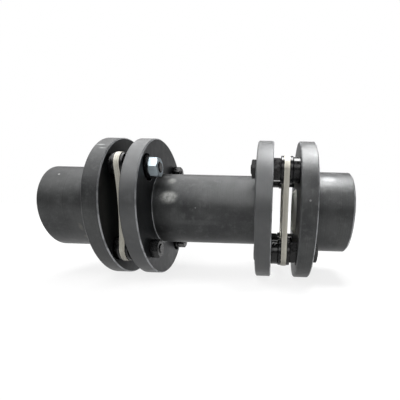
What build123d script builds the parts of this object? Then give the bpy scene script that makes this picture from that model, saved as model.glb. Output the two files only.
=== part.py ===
from build123d import *
import os
from math import radians, sqrt, tan

os.makedirs("parts", exist_ok=True)

# Shaft coupling with two flexible disc packs and a hollow spacer between them.
# The shaft axis is X, up is +Z, and -Y is the near side. All sizes are in mm.
# The origin is on the axis, halfway along the whole coupling.

# Bolt circle and the large holes that the other flange's bolts pass through
bolt_circle = 87.0
clearance_hole = 20.0
hole_edge = 0.3

# Flanges, the same on both hubs and on both ends of the spacer
flange_thickness = 12.3
flange_rim_wall = 2.5
flange_edge = 0.8
left_gap = 14.3
right_gap = 19.4

# Spacer between the two disc packs
spacer_clear_length = 81.5
spacer_tube_od = 57.5
spacer_bore = 38.0
spacer_bore_edge = 1.0
spacer_root_fillet = 1.2

# Hubs
hub_to_hole_wall = 0.5
left_nose_length = 50.0
right_nose_length = 31.0
hub_nose_edge = 1.5
hub_bore = 28.0
hub_inner_bore_edge = 2.0
hub_lip_height = 2.4
hub_lip_od = 38.0
hub_outer_bore_edge = 1.2

# Screws, M8, and their nuts. The grip is from the underside of the head to the foot of the
# nut. It is the same for every screw, so the nuts of the narrower left gap stand clear of
# their flange and those of the right gap sink into its holes.
screw_d = 8.0
screw_hole_clearance = 0.2
thread_clearance = 0.1
screw_head_flats = 13.0
screw_head_height = 5.3
screw_head_proud = 1.0
screw_end_proud = 0.8
screw_grip = 36.6
screw_end_edge = 0.8
nut_flats = 13.0
nut_height = 6.8
hex_corner_slope = 30.0

# Rings and sleeves that the screws clamp against the packs
washer_od = 20.0
washer_thickness = 2.4
bushing_od = 18.5
ring_edge = 0.4
sleeve_hole_clearance = 1.0

# Disc packs of thin square laminations
lamination_thickness = 0.4
lamination_count = 10
pack_corner_margin = 0.5
pack_waist = 3.0
pack_window = 46.0

# Each hexagon came to rest at its own angle when it was tightened
hex_turn_step = 17.0

# Worked out from the sizes above
flange_od = bolt_circle + clearance_hole + 2 * flange_rim_wall
hub_od = bolt_circle - clearance_hole - 2 * hub_to_hole_wall
screw_hole = screw_d + screw_hole_clearance
head_recess = screw_head_height - screw_head_proud
sleeve_corners = clearance_hole - 2 * sleeve_hole_clearance
pack_thickness = lamination_thickness * lamination_count
pack_corner_radius = washer_od / 2 + pack_corner_margin
spacer_length = spacer_clear_length + 2 * flange_thickness
spacer_x = (left_gap + left_nose_length - right_gap - right_nose_length) / 2
gaps = {-1: left_gap, 1: right_gap}

# The four screw spots of a pack, each at 45 degrees round the shaft axis, as (y, z)
spot = bolt_circle / 2 / sqrt(2)
spots = {
    "upper_near": (-spot, spot),
    "upper_far": (spot, spot),
    "lower_far": (spot, -spot),
    "lower_near": (-spot, -spot),
}

# A hub holds two screws of its pack and the spacer holds the other two
hub_spots = ("upper_near", "lower_far")
spacer_spots = ("upper_far", "lower_near")


def square_plane(x, side, y=0.0, z=0.0):
    """Plane square to the shaft through (x, y, z). Its normal is side * X and its own y is up."""
    return Plane(origin=(x, y, z), x_dir=(0, side, 0), z_dir=(side, 0, 0))


def length_plane(seat):
    """Plane along a screw: its x is out from the screw and its y is along the screw."""
    return Plane(origin=seat.origin, x_dir=seat.x_dir, z_dir=-seat.y_dir)


def on_plane(names, side):
    """The named spots, as x and y of a square_plane whose normal is side * X."""
    return [(side * spots[name][0], spots[name][1]) for name in names]


def circles_at(part, radius, x):
    """The round edges of a part that have this radius and lie at this x."""
    rings = part.edges().filter_by(GeomType.CIRCLE)
    return [e for e in rings if abs(e.radius - radius) < 0.01 and abs(e.arc_center.X - x) < 0.01]


def drill_flange(part, outer_x, side, held, passed, recessed=True):
    """Screw holes at the held spots, with a recess for the head or flat for a nut, and large
    clearance holes at the passed ones. side points out of the face away from the pack."""
    with Locations(square_plane(outer_x, side)):
        with Locations(*on_plane(held, side)):
            Hole(screw_hole / 2, flange_thickness)
            if recessed:
                Hole(clearance_hole / 2, head_recess)
        with Locations(*on_plane(passed, side)):
            Hole(clearance_hole / 2, flange_thickness)
    chamfer(circles_at(part, clearance_hole / 2, outer_x), hole_edge)


def hub_section(side, face_x, nose_length):
    """Half section of a hub: its flange, its nose, its bore and the low lip round the bore."""
    lip_x = face_x - side * hub_lip_height
    back_x = face_x + side * flange_thickness
    end_x = back_x + side * nose_length
    bore_r = hub_bore / 2
    with BuildSketch(Plane.XY) as section:
        with BuildLine():
            Polyline(
                (lip_x + side * hub_inner_bore_edge, bore_r),
                (lip_x, bore_r + hub_inner_bore_edge),
                (face_x, hub_lip_od / 2),
                (face_x, flange_od / 2 - flange_edge),
                (face_x + side * flange_edge, flange_od / 2),
                (back_x - side * flange_edge, flange_od / 2),
                (back_x, flange_od / 2 - flange_edge),
                (back_x, hub_od / 2),
                (end_x - side * hub_nose_edge, hub_od / 2),
                (end_x, hub_od / 2 - hub_nose_edge),
                (end_x, bore_r + hub_outer_bore_edge),
                (end_x - side * hub_outer_bore_edge, bore_r),
                close=True,
            )
        make_face()
    return section.sketch


# Left hub, with the long nose
left_face_x = spacer_x - spacer_length / 2 - left_gap
with BuildPart() as left_hub:
    revolve(hub_section(-1, left_face_x, left_nose_length), axis=Axis.X)
    drill_flange(left_hub, left_face_x - flange_thickness, -1, hub_spots, spacer_spots)
left_hub.part.label = "left_hub"
export_step(left_hub.part, "parts/left_hub.step")

# Right hub, with the short nose
right_face_x = spacer_x + spacer_length / 2 + right_gap
with BuildPart() as right_hub:
    revolve(hub_section(1, right_face_x, right_nose_length), axis=Axis.X)
    drill_flange(right_hub, right_face_x + flange_thickness, 1, hub_spots, spacer_spots)
right_hub.part.label = "right_hub"
export_step(right_hub.part, "parts/right_hub.step")

# Spacer: one turned piece, a tube with a flange at each end
end_xs = {-1: spacer_x - spacer_length / 2, 1: spacer_x + spacer_length / 2}
with BuildPart() as spacer:
    for side, end_x in end_xs.items():
        with BuildSketch(square_plane(end_x, -side)):
            Circle(flange_od / 2)
        extrude(amount=flange_thickness)
    chamfer(spacer.edges().filter_by(GeomType.CIRCLE), flange_edge)
    with BuildSketch(square_plane(end_xs[-1], 1)):
        Circle(spacer_tube_od / 2)
    extrude(amount=spacer_length)
    for side, end_x in end_xs.items():
        inner_x = end_x - side * flange_thickness
        fillet(circles_at(spacer, spacer_tube_od / 2, inner_x), spacer_root_fillet)
    with Locations(square_plane(end_xs[1], 1)):
        Hole(spacer_bore / 2, spacer_length)
    for side, end_x in end_xs.items():
        inner_x = end_x - side * flange_thickness
        chamfer(circles_at(spacer, spacer_bore / 2, end_x), spacer_bore_edge)
        drill_flange(spacer, inner_x, -side, spacer_spots, hub_spots, recessed=side == 1)
spacer.part.label = "spacer"
export_step(spacer.part, "parts/spacer.step")

# Disc packs: square laminations with round corners, waisted sides and a round window
waist_radius = (spot**2 + pack_waist**2) / (2 * pack_waist)
waist_centre = spot + pack_corner_radius - pack_waist + waist_radius
pack_side = 2 * (spot + pack_corner_radius)
for side, pack_name in ((-1, "left_disc_pack"), (1, "right_disc_pack")):
    pack_x = end_xs[side] + side * (gaps[side] - pack_thickness) / 2
    laminations = []
    for layer in range(lamination_count):
        with BuildPart() as lamination:
            with BuildSketch(square_plane(pack_x + side * layer * lamination_thickness, side)):
                RectangleRounded(pack_side, pack_side, pack_corner_radius)
                with PolarLocations(waist_centre, len(spots)):
                    Circle(waist_radius, mode=Mode.SUBTRACT)
                with Locations(*on_plane(spots, side)):
                    Circle(screw_hole / 2, mode=Mode.SUBTRACT)
                Circle(pack_window / 2, mode=Mode.SUBTRACT)
            extrude(amount=lamination_thickness)
        lamination.part.label = f"lamination_{layer + 1}"
        laminations.append(lamination.part)
    disc_pack = Compound(label=pack_name, children=laminations)
    export_step(disc_pack, f"parts/{pack_name}.step")


def keep_hex_corners(seat, low, high, flats, low_eased, high_eased):
    """Turn the corners of a hexagon's ends down to a cone, as a lathe leaves them."""
    corner_r = flats / sqrt(3) + ring_edge
    face_r = flats / 2
    drop = (corner_r - face_r) * tan(radians(hex_corner_slope))
    low_r = face_r if low_eased else corner_r
    high_r = face_r if high_eased else corner_r
    with BuildSketch(length_plane(seat)) as section:
        with BuildLine():
            Polyline(
                (0, low), (low_r, low), (corner_r, low + drop),
                (corner_r, high - drop), (high_r, high), (0, high),
                close=True,
            )
        make_face()
    revolve(section.sketch, axis=Axis(seat.origin, seat.z_dir), mode=Mode.INTERSECT)


def make_screw(seat, turn):
    """Hex head screw. The underside of its head rests on the seat, which faces its end."""
    with BuildPart() as screw:
        with BuildSketch(seat.offset(-screw_head_height)):
            RegularPolygon(screw_head_flats / sqrt(3), 6, rotation=turn)
        extrude(amount=screw_head_height)
        keep_hex_corners(seat, -screw_head_height, 0, screw_head_flats, True, False)
        with BuildSketch(seat):
            Circle(screw_d / 2)
        extrude(amount=screw_grip + nut_height + screw_end_proud)
        tip = screw.faces().sort_by(Axis(seat.origin, seat.z_dir))[-1]
        chamfer(tip.edges(), screw_end_edge)
    return screw.part


def make_ring(seat, low, length, outer_d):
    """Round ring on the screw, with its two outer edges eased."""
    with BuildPart() as ring:
        with BuildSketch(seat.offset(low)):
            Circle(outer_d / 2)
            Circle(screw_hole / 2, mode=Mode.SUBTRACT)
        extrude(amount=length)
        rims = ring.edges().filter_by(GeomType.CIRCLE)
        chamfer([e for e in rims if abs(e.radius - outer_d / 2) < 0.01], ring_edge)
    return ring.part


def make_hexagon(seat, low, length, flats, bore, turn):
    """Hexagonal nut or sleeve on the screw, with both ends turned down at the corners."""
    with BuildPart() as hexagon:
        with BuildSketch(seat.offset(low)):
            RegularPolygon(flats / sqrt(3), 6, rotation=turn)
        extrude(amount=length)
        keep_hex_corners(seat, low, low + length, flats, True, True)
        with BuildSketch(seat.offset(low)):
            Circle(bore / 2)
        extrude(amount=length, mode=Mode.SUBTRACT)
    return hexagon.part


# Flats of the sleeves, whose corners clear the holes that they pass through
sleeve_flats = sleeve_corners * sqrt(3) / 2

# One screw with its bushing, two washers, sleeve and nut at each spot of each pack. Heights
# of the rings are from the pack side of the flange that holds the screw. The two screws that
# the spacer's left flange holds are turned round: their nuts sit flat on it.
for side, pack_name in ((-1, "left"), (1, "right")):
    bushing_length = (gaps[side] - pack_thickness) / 2 - washer_thickness
    pack_low = bushing_length + washer_thickness
    washer_2_low = pack_low + pack_thickness
    sleeve_low = washer_2_low + washer_thickness
    for number, (spot_name, (y, z)) in enumerate(spots.items()):
        if spot_name in hub_spots:
            held_x, toward_pack = end_xs[side] + side * gaps[side], -side
        else:
            held_x, toward_pack = end_xs[side], side
        seat = square_plane(held_x, toward_pack, y, z)
        turned_round = side == -1 and spot_name in spacer_spots
        if turned_round:
            sleeve_high = screw_grip - flange_thickness
            head_x = held_x + toward_pack * sleeve_high
            screw_seat = square_plane(head_x, -toward_pack, y, z)
        else:
            sleeve_high = screw_grip - flange_thickness + head_recess
            screw_seat = seat.offset(head_recess - flange_thickness)
        turn = number * hex_turn_step
        place = f"{pack_name}_{spot_name}"
        pieces = {
            "screw": make_screw(screw_seat, turn),
            "bushing": make_ring(seat, 0, bushing_length, bushing_od),
            "inner_washer": make_ring(seat, bushing_length, washer_thickness, washer_od),
            "outer_washer": make_ring(seat, washer_2_low, washer_thickness, washer_od),
            "sleeve": make_hexagon(
                seat, sleeve_low, sleeve_high - sleeve_low, sleeve_flats, screw_hole, turn
            ),
            "nut": make_hexagon(
                screw_seat, screw_grip, nut_height, nut_flats, screw_d + thread_clearance, -turn
            ),
        }
        for piece_name, piece in pieces.items():
            piece.label = f"{place}_{piece_name}"
            export_step(piece, f"parts/{piece.label}.step")
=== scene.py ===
"""Looks of the shaft coupling: matte blackened hubs and spacer, bright laminated disc packs and
glossy black screws, on a white floor under soft lights from above."""

import math

import bpy
from mathutils import Matrix, Vector


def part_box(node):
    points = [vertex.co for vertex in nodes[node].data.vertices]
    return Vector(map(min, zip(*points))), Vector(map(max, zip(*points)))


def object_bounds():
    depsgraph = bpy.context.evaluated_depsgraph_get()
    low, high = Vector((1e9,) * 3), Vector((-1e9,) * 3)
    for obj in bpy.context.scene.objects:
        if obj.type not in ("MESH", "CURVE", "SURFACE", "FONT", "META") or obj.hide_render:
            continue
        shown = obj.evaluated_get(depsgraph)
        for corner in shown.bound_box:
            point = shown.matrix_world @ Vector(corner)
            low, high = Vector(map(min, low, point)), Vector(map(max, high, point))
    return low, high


MM = 0.001

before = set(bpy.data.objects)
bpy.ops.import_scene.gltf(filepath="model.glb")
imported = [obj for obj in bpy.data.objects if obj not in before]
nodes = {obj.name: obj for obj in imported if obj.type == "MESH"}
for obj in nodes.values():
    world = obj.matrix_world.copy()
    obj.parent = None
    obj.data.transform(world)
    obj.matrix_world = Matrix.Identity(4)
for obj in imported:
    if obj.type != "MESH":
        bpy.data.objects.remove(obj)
cad_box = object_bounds()

# Places worked out from the frame, in metres
spacer_low, spacer_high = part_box("spacer")
FLANGE_R = spacer_high.y
SPACER_X = (spacer_low.x + spacer_high.x) / 2

# Sizes that the solids have and the finishes follow, in metres: how far out the bare metal
# reaches on the lips and at the ends, the round surfaces that carry marks, and the screws' places
HUB_BARE_R = 19 * MM
SPACER_BARE_R = 20 * MM
BORE_EDGE_R = 15.3 * MM
NOSE_R = 33 * MM
TUBE_R = 28.75 * MM
SCREW_SPOT = 87 * MM / 2 / math.sqrt(2)
LAMINATION = 0.4 * MM

# Camera fitted to the rims in the photograph, which is 400 px square. Its height is a choice.
PHOTO = 400
FOCAL_PX = 299.4
CENTRE_PX = (262.2, 265.4)
CAMERA_FROM_SPACER = Vector((53.05, -262.5, 5.0)) * MM
YAW = math.radians(-1.626)
PITCH = math.radians(-11.4)
ROLL = math.radians(1.494)
SENSOR = 36.0


def linear(hex_colour):
    """sRGB hex colour as linear RGBA."""
    channels = [int(hex_colour[i:i + 2], 16) / 255 for i in (1, 3, 5)]
    curve = [c / 12.92 if c <= 0.04045 else ((c + 0.055) / 1.055) ** 2.4 for c in channels]
    return (*curve, 1.0)


def add(tree, kind, inputs=None, **settings):
    """Add a node, set its settings, and fill its inputs with values or links."""
    node = tree.nodes.new(kind)
    for name, value in settings.items():
        setattr(node, name, value)
    for socket, value in (inputs or {}).items():
        if isinstance(value, bpy.types.NodeSocket):
            tree.links.new(value, node.inputs[socket])
        else:
            node.inputs[socket].default_value = value
    return node


def new_material(name):
    """Empty material with its tree and its output node."""
    material = bpy.data.materials.new(name)
    material.use_nodes = True
    tree = material.node_tree
    tree.nodes.clear()
    output = add(tree, "ShaderNodeOutputMaterial")
    return material, tree, output


def shaft_coordinates(tree):
    """Object coordinates, and with them the place along the shaft and the distance from it."""
    place = add(tree, "ShaderNodeTexCoord").outputs["Object"]
    split = add(tree, "ShaderNodeSeparateXYZ", {0: place})
    across = add(tree, "ShaderNodeCombineXYZ", {1: split.outputs["Y"], 2: split.outputs["Z"]})
    radius = add(tree, "ShaderNodeVectorMath", {0: across.outputs[0]}, operation="LENGTH")
    return place, split.outputs["X"], radius.outputs["Value"]


def math_node(tree, operation, first, second=0.0, clamp=False):
    """One step of arithmetic on values or links."""
    node = add(tree, "ShaderNodeMath", {0: first, 1: second}, operation=operation, use_clamp=clamp)
    return node.outputs[0]


def ramp(tree, value, low, high, out_low=0.0, out_high=1.0):
    """Smooth step of a value from out_low at low to out_high at high."""
    inputs = {"Value": value, "From Min": low, "From Max": high, "To Min": out_low, "To Max": out_high}
    node = add(tree, "ShaderNodeMapRange", inputs, interpolation_type="SMOOTHSTEP")
    return node.outputs["Result"]


def noise(tree, place, size, detail=3.0, rough=0.5):
    """Noise whose lumps are about this size, in metres."""
    inputs = {"Vector": place, "Scale": 1.0 / size, "Detail": detail, "Roughness": rough}
    return add(tree, "ShaderNodeTexNoise", inputs).outputs["Fac"]


def line_noise(tree, along, size, detail=2.0):
    """Noise that changes only along one value, for turned grooves, lines about this size apart."""
    inputs = {"W": along, "Scale": 1.0 / size, "Detail": detail, "Roughness": 0.6}
    return add(tree, "ShaderNodeTexNoise", inputs, noise_dimensions="1D").outputs["Fac"]


def mix_colour(tree, share, first, second):
    """Blend of two colours, each a value or a link."""
    node = add(tree, "ShaderNodeMix", {"Factor": share}, data_type="RGBA")
    for socket, colour in ((6, first), (7, second)):
        if isinstance(colour, bpy.types.NodeSocket):
            tree.links.new(colour, node.inputs[socket])
        else:
            node.inputs[socket].default_value = colour
    return node.outputs[2]


def around(radius, degrees, x):
    """Point on a round surface of this radius, in metres: x mm along the shaft, degrees up from
    the near side."""
    turn = math.radians(degrees)
    return Vector((x * MM, -radius * math.cos(turn), radius * math.sin(turn)))


def mark(tree, place, centre, reach):
    """Soft spot round a centre: 1 inside and 0 outside. reach is its half size along each axis."""
    away = add(tree, "ShaderNodeVectorMath", {0: place, 1: centre}, operation="SUBTRACT")
    inputs = {0: away.outputs[0], 1: Vector(reach) * MM}
    share = add(tree, "ShaderNodeVectorMath", inputs, operation="DIVIDE")
    size = add(tree, "ShaderNodeVectorMath", {0: share.outputs[0]}, operation="LENGTH")
    return ramp(tree, size.outputs["Value"], 1.0, 0.35)


def blackened_steel(name, bare_radius, marks, rim_lift):
    """Turned steel, blackened and dull: grey where the light falls, near black in the shade,
    with faint turning grooves, bare metal round the bore, painted shade on the faces that look along
    the shaft, pale edges that are partly wear and partly painted highlight, and scratches and patches,
    among them a painted highlight and painted shade.
    rim_lift is how far the flange rims go toward a paler grey."""
    material, tree, output = new_material(name)
    place, along, radius = shaft_coordinates(tree)
    geometry = add(tree, "ShaderNodeNewGeometry")
    facing = add(tree, "ShaderNodeSeparateXYZ", {0: geometry.outputs["Normal"]})
    slope = math_node(tree, "ABSOLUTE", facing.outputs["X"])
    end_face = ramp(tree, slope, 0.6, 0.9)

    # Turning grooves, drawn 0.7 mm apart and wavy in depth, because real ones would not show
    groove = 0.7 * MM
    round_grooves = line_noise(tree, along, groove)
    face_grooves = line_noise(tree, radius, groove)
    grooves = add(tree, "ShaderNodeMix", {"Factor": end_face, "A": round_grooves, "B": face_grooves})

    # The blacking took unevenly: broad clouds, smaller blotches and a fine tooth
    clouds = noise(tree, place, 26 * MM, 3.0)
    blotches = noise(tree, place, 5 * MM, 4.0, 0.6)
    tooth = noise(tree, place, 0.7 * MM, 2.0)
    tone = mix_colour(tree, ramp(tree, clouds, 0.3, 0.7), linear("#333435"), linear("#4c4d4d"))
    tone = mix_colour(tree, ramp(tree, blotches, 0.48, 0.76, 0.0, 0.6), tone, linear("#5c5d5d"))
    tone = mix_colour(tree, ramp(tree, grooves.outputs[0], 0.45, 0.8, 0.0, 0.35), tone, linear("#2c2c2d"))
    tone = mix_colour(tree, ramp(tree, tooth, 0.5, 0.8, 0.0, 0.35), tone, linear("#616262"))

    # The faces that look along the shaft get painted shade, darker and a little bluer, and the spacer's rims
    # were rubbed paler
    tone = mix_colour(tree, math_node(tree, "MULTIPLY", end_face, 0.5), tone, linear("#191d24"))
    on_rim = math_node(tree, "MULTIPLY", ramp(tree, radius, FLANGE_R - 2 * MM, FLANGE_R - MM), rim_lift)
    rim_share = math_node(tree, "MULTIPLY", on_rim, math_node(tree, "SUBTRACT", 1.0, end_face))
    tone = mix_colour(tree, rim_share, tone, linear("#68696a"))

    # Pale lines on the 45 degree edges and the root of the tube, partly where the blacking wore off and
    # partly a painted highlight, so they are strongest on the side toward the right end
    on_edge = math_node(tree, "MULTIPLY", ramp(tree, slope, 0.5, 0.66), ramp(tree, slope, 0.9, 0.76))
    uneven = ramp(tree, noise(tree, place, 7 * MM, 3.0), 0.3, 0.6, 0.35, 1.0)
    wear_and_painted_highlight = math_node(tree, "MULTIPLY", on_edge, uneven)
    # Painted highlight: the pale edge line is kept mostly on the edges that face the right end
    wear_and_painted_highlight = math_node(tree, "MULTIPLY", wear_and_painted_highlight, ramp(tree, facing.outputs["X"], -0.2, 0.2, 0.15, 1.0))
    tone = mix_colour(tree, wear_and_painted_highlight, tone, linear("#b4b6b9"))

    # Scratches and pale and dark patches at the listed places; on the spacer's tube these include a painted
    # highlight and painted shade
    for centre, reach, strength, colour in marks:
        spot = mark(tree, place, centre, reach)
        patchy = ramp(tree, noise(tree, place, 2.2 * MM, 3.0), 0.3, 0.6, 0.5, 1.0)
        share = math_node(tree, "MULTIPLY", math_node(tree, "MULTIPLY", spot, patchy), strength)
        tone = mix_colour(tree, share, tone, linear(colour))

    # Bare metal in the bore, and past it on the low lips that face the gaps
    from_middle = math_node(tree, "ABSOLUTE", along)
    limit = ramp(tree, from_middle, 82 * MM, 90 * MM, bare_radius, BORE_EDGE_R)
    inside = math_node(tree, "SUBTRACT", limit, radius)
    bare = ramp(tree, inside, -0.15 * MM, 0.1 * MM)
    colour = mix_colour(tree, bare, tone, linear("#d4d4cf"))

    height = math_node(tree, "ADD", math_node(tree, "MULTIPLY", grooves.outputs[0], 0.6),
                       math_node(tree, "MULTIPLY", tooth, 0.4))
    bump = add(tree, "ShaderNodeBump", {"Height": height, "Strength": 0.22, "Distance": 0.05 * MM})
    rough = ramp(tree, blotches, 0.3, 0.7, 0.4, 0.5)
    shader = add(tree, "ShaderNodeBsdfPrincipled", {
        "Base Color": colour, "Metallic": 0.5, "Roughness": rough, "Normal": bump.outputs[0]})
    tree.links.new(shader.outputs[0], output.inputs[0])
    return material


def screw_distance(tree, place):
    """Distance from the axis of the nearest screw, with the angle's two parts across it."""
    split = add(tree, "ShaderNodeSeparateXYZ", {0: place})
    parts = [math_node(tree, "SUBTRACT", math_node(tree, "ABSOLUTE", split.outputs[axis]), SCREW_SPOT)
             for axis in ("Y", "Z")]
    across = add(tree, "ShaderNodeCombineXYZ", {1: parts[0], 2: parts[1]})
    return add(tree, "ShaderNodeVectorMath", {0: across.outputs[0]}, operation="LENGTH").outputs["Value"]


def black_oxide(name):
    """Hardened steel with an oiled black oxide: almost black, with sharp bright highlights and
    fine dull grey rings turned round each screw's axis."""
    material, tree, output = new_material(name)
    place = add(tree, "ShaderNodeTexCoord").outputs["Object"]
    from_screw = screw_distance(tree, place)
    stains = noise(tree, place, 2.5 * MM, 3.0)
    turned = line_noise(tree, from_screw, 0.35 * MM)
    colour = mix_colour(tree, stains, linear("#050506"), linear("#0e0e10"))
    colour = mix_colour(tree, ramp(tree, turned, 0.55, 0.8, 0.0, 0.3), colour, linear("#2a2a2b"))
    grain = noise(tree, place, 0.5 * MM, 2.0)
    bump = add(tree, "ShaderNodeBump", {"Height": grain, "Strength": 0.12, "Distance": 0.03 * MM})
    rough = ramp(tree, stains, 0.3, 0.7, 0.2, 0.34)
    shader = add(tree, "ShaderNodeBsdfPrincipled", {
        "Base Color": colour, "Metallic": 0.0, "Specular IOR Level": 0.33, "Roughness": rough,
        "Normal": bump.outputs[0]})
    tree.links.new(shader.outputs[0], output.inputs[0])
    return material


def stainless_laminations(name):
    """Thin spring steel sheets in a stack: satin and a little warm, each sheet's edge of its own
    tone, with a dark line where it meets the next."""
    material, tree, output = new_material(name)
    place, along, radius = shaft_coordinates(tree)
    count = math_node(tree, "DIVIDE", along, LAMINATION)
    sheet = add(tree, "ShaderNodeTexWhiteNoise", {"W": math_node(tree, "FLOOR", count)},
                noise_dimensions="1D").outputs["Value"]
    within = math_node(tree, "FRACT", count)
    seam = ramp(tree, math_node(tree, "ABSOLUTE", math_node(tree, "SUBTRACT", within, 0.5)), 0.3, 0.48)
    geometry = add(tree, "ShaderNodeNewGeometry")
    facing = add(tree, "ShaderNodeSeparateXYZ", {0: geometry.outputs["Normal"]})
    on_edge = ramp(tree, math_node(tree, "ABSOLUTE", facing.outputs["X"]), 0.7, 0.3)
    smear = noise(tree, place, 9 * MM, 3.0)
    pale = mix_colour(tree, smear, linear("#e2decf"), linear("#f6f3e8"))
    toned = mix_colour(tree, math_node(tree, "MULTIPLY", sheet, 0.45), pale, linear("#a8a393"))
    colour = mix_colour(tree, math_node(tree, "MULTIPLY", math_node(tree, "MULTIPLY", seam, on_edge), 0.6),
                        toned, linear("#4f4c44"))
    bump = add(tree, "ShaderNodeBump", {"Height": seam, "Strength": 0.3, "Distance": 0.03 * MM}, invert=True)
    shader = add(tree, "ShaderNodeBsdfPrincipled", {
        "Base Color": colour, "Metallic": 0.15, "Roughness": 0.42, "Normal": bump.outputs[0]})
    tree.links.new(shader.outputs[0], output.inputs[0])
    return material


def zinc_plate(name):
    """Steel nut with bright zinc plate: pale, a little blue and glossy, with a cloudy sheen."""
    material, tree, output = new_material(name)
    place = add(tree, "ShaderNodeTexCoord").outputs["Object"]
    clouds = noise(tree, place, 1.6 * MM, 3.0)
    colour = mix_colour(tree, clouds, linear("#a2b0b8"), linear("#cfdbe1"))
    rough = ramp(tree, clouds, 0.3, 0.7, 0.4, 0.54)
    shader = add(tree, "ShaderNodeBsdfPrincipled", {
        "Base Color": colour, "Metallic": 0.75, "Roughness": rough})
    tree.links.new(shader.outputs[0], output.inputs[0])
    return material


def dress(node_name, material):
    """Give a solid its material in place of the plain one that it comes with."""
    piece = nodes[node_name]
    piece.data.materials.clear()
    piece.data.materials.append(material)


# Scratches and patches, among them a painted highlight and painted shade on the spacer's tube: centre, half
# size in mm, strength and colour
HUB_MARKS = [
    (around(NOSE_R, 49, -109.4), (1.2, 1.0, 1.0), 0.9, "#b5b5b4"),
    (around(NOSE_R, -28, -91.0), (2.2, 4.5, 4.5), 0.5, "#77756f"),
    (around(NOSE_R, -46, -89.3), (4.5, 3.0, 3.0), 0.55, "#77756f"),
    (around(FLANGE_R, 55, -68.5), (5.0, 1.2, 1.2), 0.8, "#a3a5a5"),
    (around(FLANGE_R, 50, -65.0), (3.5, 0.9, 0.9), 0.7, "#a3a5a5"),
    (around(FLANGE_R, 9, 85.5), (1.0, 1.0, 1.0), 0.45, "#b5b5b4"),
    (around(FLANGE_R, 60, 86.0), (5.0, 1.0, 1.0), 0.5, "#8c8e8f"),
    (around(NOSE_R, 52, 103.0), (7.0, 5.0, 4.0), 0.35, "#8c8e8f"),
]
SPACER_MARKS_AND_PAINTED_LIGHT = [
    # Painted highlight: the large pale patch on the near side of the tube by the left flange
    (around(TUBE_R, 19, -20.5), (8.5, 6.0, 6.5), 0.9, "#a2a3a0"),
    (around(TUBE_R, 50, -20.5), (4.5, 5.0, 4.5), 0.6, "#8f908d"),
    (around(TUBE_R, 62, -26.0), (3.0, 4.0, 2.5), 0.5, "#8a8b88"),
    (around(TUBE_R, -20, 2.0), (26.0, 6.0, 3.0), 0.3, "#606161"),
    (around(TUBE_R, 3, 0.5), (0.7, 0.8, 0.8), 0.4, "#b5b5b4"),
    # Painted shade: the two dark patches on the tube next to the right flange
    (around(TUBE_R, -8, 34.0), (14.0, 8.0, 6.0), 0.55, "#28282a"),
    (around(TUBE_R, 38, 46.0), (3.0, 5.0, 4.0), 0.6, "#28282a"),
]

hub_steel = blackened_steel("blackened_turned_steel_hub", HUB_BARE_R, HUB_MARKS, 0.0)
spacer_steel = blackened_steel("blackened_turned_steel_spacer", SPACER_BARE_R, SPACER_MARKS_AND_PAINTED_LIGHT, 0.5)
oxide = black_oxide("oiled_black_oxide_steel")
sheets = stainless_laminations("satin_stainless_laminations")
zinc = zinc_plate("bright_zinc_plated_steel")

for node_name in nodes:
    if node_name in ("left_hub", "right_hub"):
        dress(node_name, hub_steel)
    elif node_name == "spacer":
        dress(node_name, spacer_steel)
    elif node_name.endswith("disc_pack"):
        dress(node_name, sheets)
    elif node_name == "left_upper_near_nut":
        dress(node_name, zinc)
    else:
        dress(node_name, oxide)


# How white the near part of the table and the far part look, and what the dark room gives
NEAR_WHITE = 0.82
FAR_WHITE = 1.05
ROOM_LIGHT = 0.02


def seen_directly(tree):
    """1 where the camera looks, also by way of a reflection or through something clear."""
    path = add(tree, "ShaderNodeLightPath")
    either = math_node(tree, "MAXIMUM", path.outputs["Is Camera Ray"], path.outputs["Is Glossy Ray"])
    return math_node(tree, "MAXIMUM", either, path.outputs["Is Transmission Ray"])


def make_floor():
    """Level white table under the lowest rims. To the eye it glows, less near the object, where
    its shadow lies, and fully further off. It gives the object only the light of a pale table."""
    size = 3.0
    mesh = bpy.data.meshes.new("floor")
    z = cad_box[0][2]
    corners = [(-size, -size, z), (size, -size, z), (size, size, z), (-size, size, z)]
    mesh.from_pydata(corners, [], [(0, 1, 2, 3)])
    floor = bpy.data.objects.new("floor", mesh)
    bpy.context.scene.collection.objects.link(floor)
    material, tree, output = new_material("white_floor")
    place = add(tree, "ShaderNodeTexCoord").outputs["Object"]
    away = add(tree, "ShaderNodeVectorMath", {0: place}, operation="LENGTH").outputs["Value"]
    white = ramp(tree, away, 0.16, 0.5, NEAR_WHITE, FAR_WHITE)
    level = math_node(tree, "MULTIPLY", white, seen_directly(tree))
    lit = add(tree, "ShaderNodeBsdfDiffuse", {"Color": linear("#777777")})
    glow = add(tree, "ShaderNodeEmission", {"Color": linear("#ffffff"), "Strength": level})
    both = add(tree, "ShaderNodeAddShader", {0: lit.outputs[0], 1: glow.outputs[0]})
    tree.links.new(both.outputs[0], output.inputs[0])
    mesh.materials.append(material)


def make_world():
    """White backdrop to the camera and to reflections of what lies behind the object. The room
    in front of it, which only reflections can show, is dark. It gives no other light."""
    world = bpy.data.worlds.new("white_world")
    bpy.context.scene.world = world
    world.use_nodes = True
    tree = world.node_tree
    tree.nodes.clear()
    to_camera = add(tree, "ShaderNodeLightPath").outputs["Is Camera Ray"]
    way = add(tree, "ShaderNodeSeparateXYZ", {0: add(tree, "ShaderNodeTexCoord").outputs["Generated"]})
    behind = ramp(tree, way.outputs["Y"], 0.6, 1.0, 0.03, 0.8)
    backdrop = math_node(tree, "MAXIMUM", to_camera, behind)
    seen = math_node(tree, "MULTIPLY", backdrop, seen_directly(tree))
    level = math_node(tree, "MAXIMUM", seen, ROOM_LIGHT)
    background = add(tree, "ShaderNodeBackground", {"Color": (1, 1, 1, 1), "Strength": level})
    output = add(tree, "ShaderNodeOutputWorld")
    tree.links.new(background.outputs[0], output.inputs[0])


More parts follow.
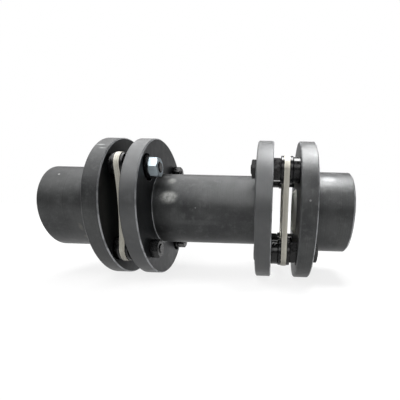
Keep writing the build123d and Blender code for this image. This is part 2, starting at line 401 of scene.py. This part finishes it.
def make_light(name, place, target, size, power, spread=180):
    """Soft rectangular lamp at a place, turned to a target. size is its width and height, and
    spread the angle of its beam. The camera doesn't see it."""
    lamp = bpy.data.lights.new(name, "AREA")
    lamp.shape = "RECTANGLE"
    lamp.size, lamp.size_y = size
    lamp.energy = power
    lamp.spread = math.radians(spread)
    light = bpy.data.objects.new(name, lamp)
    light.location = place
    light.rotation_euler = (Vector(target) - Vector(place)).to_track_quat("-Z", "Y").to_euler()
    light.visible_camera = False
    bpy.context.scene.collection.objects.link(light)


def make_camera():
    """Camera at the photograph's place, with the lens and shift that the rims gave."""
    forward = Vector((math.sin(YAW) * math.cos(PITCH), math.cos(YAW) * math.cos(PITCH), math.sin(PITCH)))
    level_right = Vector((math.cos(YAW), -math.sin(YAW), 0.0))
    level_up = level_right.cross(forward)
    right = math.cos(ROLL) * level_right + math.sin(ROLL) * level_up
    up = -math.sin(ROLL) * level_right + math.cos(ROLL) * level_up
    data = bpy.data.cameras.new("photo_camera")
    data.sensor_width = SENSOR
    data.sensor_fit = "HORIZONTAL"
    data.lens = FOCAL_PX / PHOTO * SENSOR
    data.shift_x = (PHOTO / 2 - CENTRE_PX[0]) / PHOTO
    data.shift_y = (CENTRE_PX[1] - PHOTO / 2) / PHOTO
    data.clip_start = 0.01
    camera = bpy.data.objects.new("photo_camera", data)
    place = Vector((SPACER_X, 0, 0)) + CAMERA_FROM_SPACER
    turn = Matrix((right, up, -forward)).transposed().to_4x4()
    camera.matrix_world = Matrix.Translation(place) @ turn
    bpy.context.scene.collection.objects.link(camera)
    bpy.context.scene.camera = camera


make_floor()
make_world()
# Two long softboxes overhead, the weaker one further left, and a fill from the front
WIDE = (1.5, 0.5)  # the long side lies across the shaft
make_light("softbox_over_middle", (-0.25, 0, 0.75), (-0.05, 0, 0), WIDE, 8.5)
make_light("softbox_over_left", (-0.7, 0, 0.75), (-0.2, 0, 0), WIDE, 3.0)
make_light("front_fill", (0, -1.1, 0.7), (0, 0, 0), (0.6, 0.6), 4.5)

# One small lamp close above the right hub, which is the brightest piece in the photograph
make_light("lamp_over_right_hub", (0.11, 0, 0.2), (0.1, 0, 0), (0.1, 0.1), 0.15, spread=70)
make_camera()
bpy.context.scene.view_settings.view_transform = "Standard"
